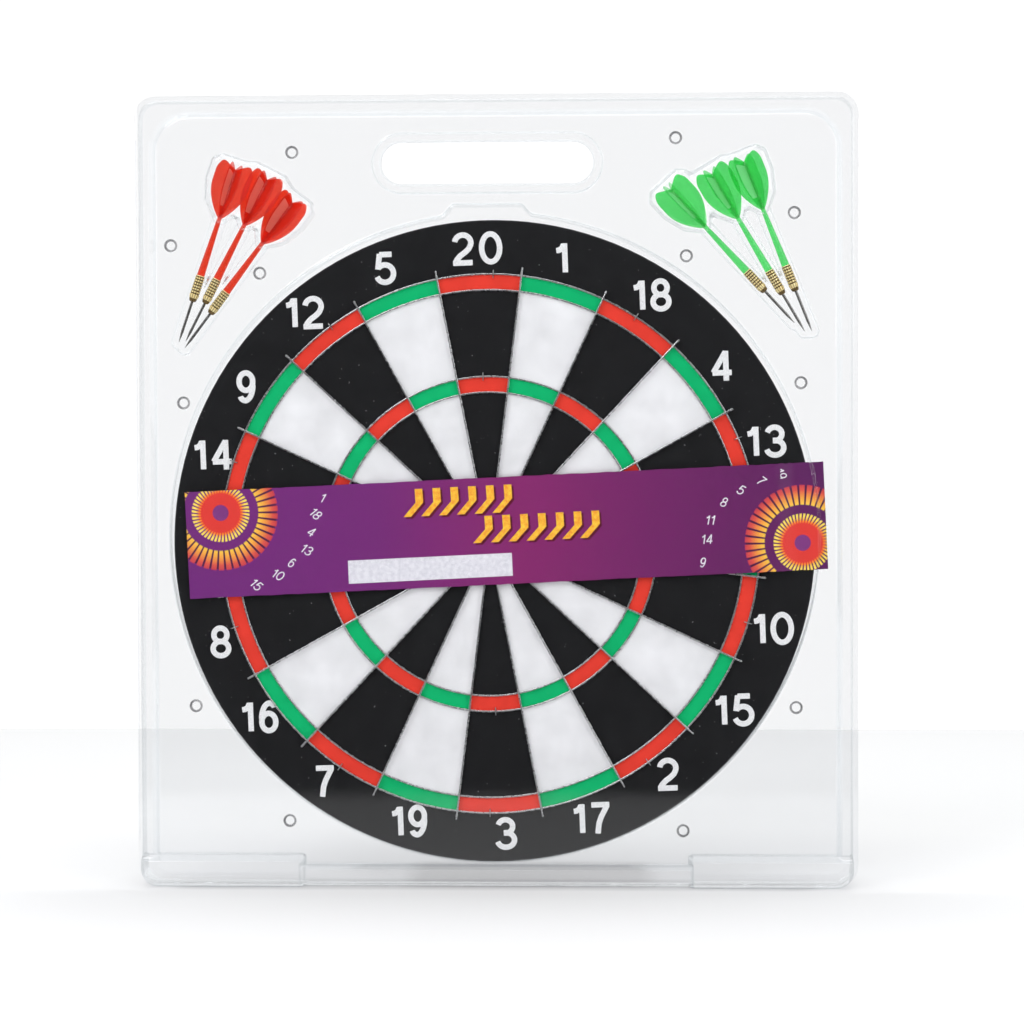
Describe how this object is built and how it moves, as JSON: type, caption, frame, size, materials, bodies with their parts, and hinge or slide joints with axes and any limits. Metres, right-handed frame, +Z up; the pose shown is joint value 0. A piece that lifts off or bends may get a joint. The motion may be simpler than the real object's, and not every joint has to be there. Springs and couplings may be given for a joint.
{
  "type": "boxed steel-tip dartboard set",
  "caption": "Wire-spider paper dartboard with steel-tip darts in a clear hinged carry pack with a handle slot, standing on its base.",
  "frame": {"origin": "centre of the pack's bounding box at the bottom, on the surface that the feet stand on", "axes": "+Z up, the front with the scoring face looks along -Y, +X to the right seen from the front; the lid's fold is along Z at the left edge"},
  "size_m": [0.486, 0.032, 0.532],
  "materials": {
    "clear_plastic": "clear, glossy formed sheet",
    "wound_paper": "matt, edge-on paper coil",
    "flock": "fine flock, printed segments",
    "back_sheet": "matt flocked card",
    "edge_band": "satin tape",
    "wire": "bright drawn wire",
    "staple": "bright flat wire",
    "hanger_steel": "zinc-plated",
    "printed_card": "gloss-coated print",
    "point_steel": "ground steel",
    "brass": "turned and knurled",
    "red_plastic": "translucent moulded plastic",
    "green_plastic": "translucent moulded plastic"
  },
  "bodies": {
    "pack": {"rear_shell": "clear_plastic", "hinge_fold": "clear_plastic", "board_core": "wound_paper", "board_face": "flock", "board_back": "back_sheet", "rim_band": "edge_band", "double_outer_wire": "wire", "double_inner_wire": "wire", "triple_outer_wire": "wire", "triple_inner_wire": "wire", "bull_outer_wire": "wire", "bull_inner_wire": "wire", "radial_wires": "wire", "wire_staples": "staple", "hanger_plate": "hanger_steel", "hanger_tacks": "hanger_steel", "label_band": "printed_card", "dart_red_1_point": "point_steel", "dart_red_1_barrel": "brass", "dart_red_1_flight": "red_plastic", "dart_red_2_point": "point_steel", "dart_red_2_barrel": "brass", "dart_red_2_flight": "red_plastic", "dart_red_3_point": "point_steel", "dart_red_3_barrel": "brass", "dart_red_3_flight": "red_plastic", "dart_green_1_point": "point_steel", "dart_green_1_barrel": "brass", "dart_green_1_flight": "green_plastic", "dart_green_2_point": "point_steel", "dart_green_2_barrel": "brass", "dart_green_2_flight": "green_plastic", "dart_green_3_point": "point_steel", "dart_green_3_barrel": "brass", "dart_green_3_flight": "green_plastic"},
    "lid": {"front_shell": "clear_plastic"}
  },
  "joints": [
    {"name": "lid_hinge", "type": "hinge", "parent": "pack", "child": "lid", "pos_m": [-0.242, 0, 0.266], "axis": [0, 0, -1], "range_deg": [0, 180]}
  ]
}
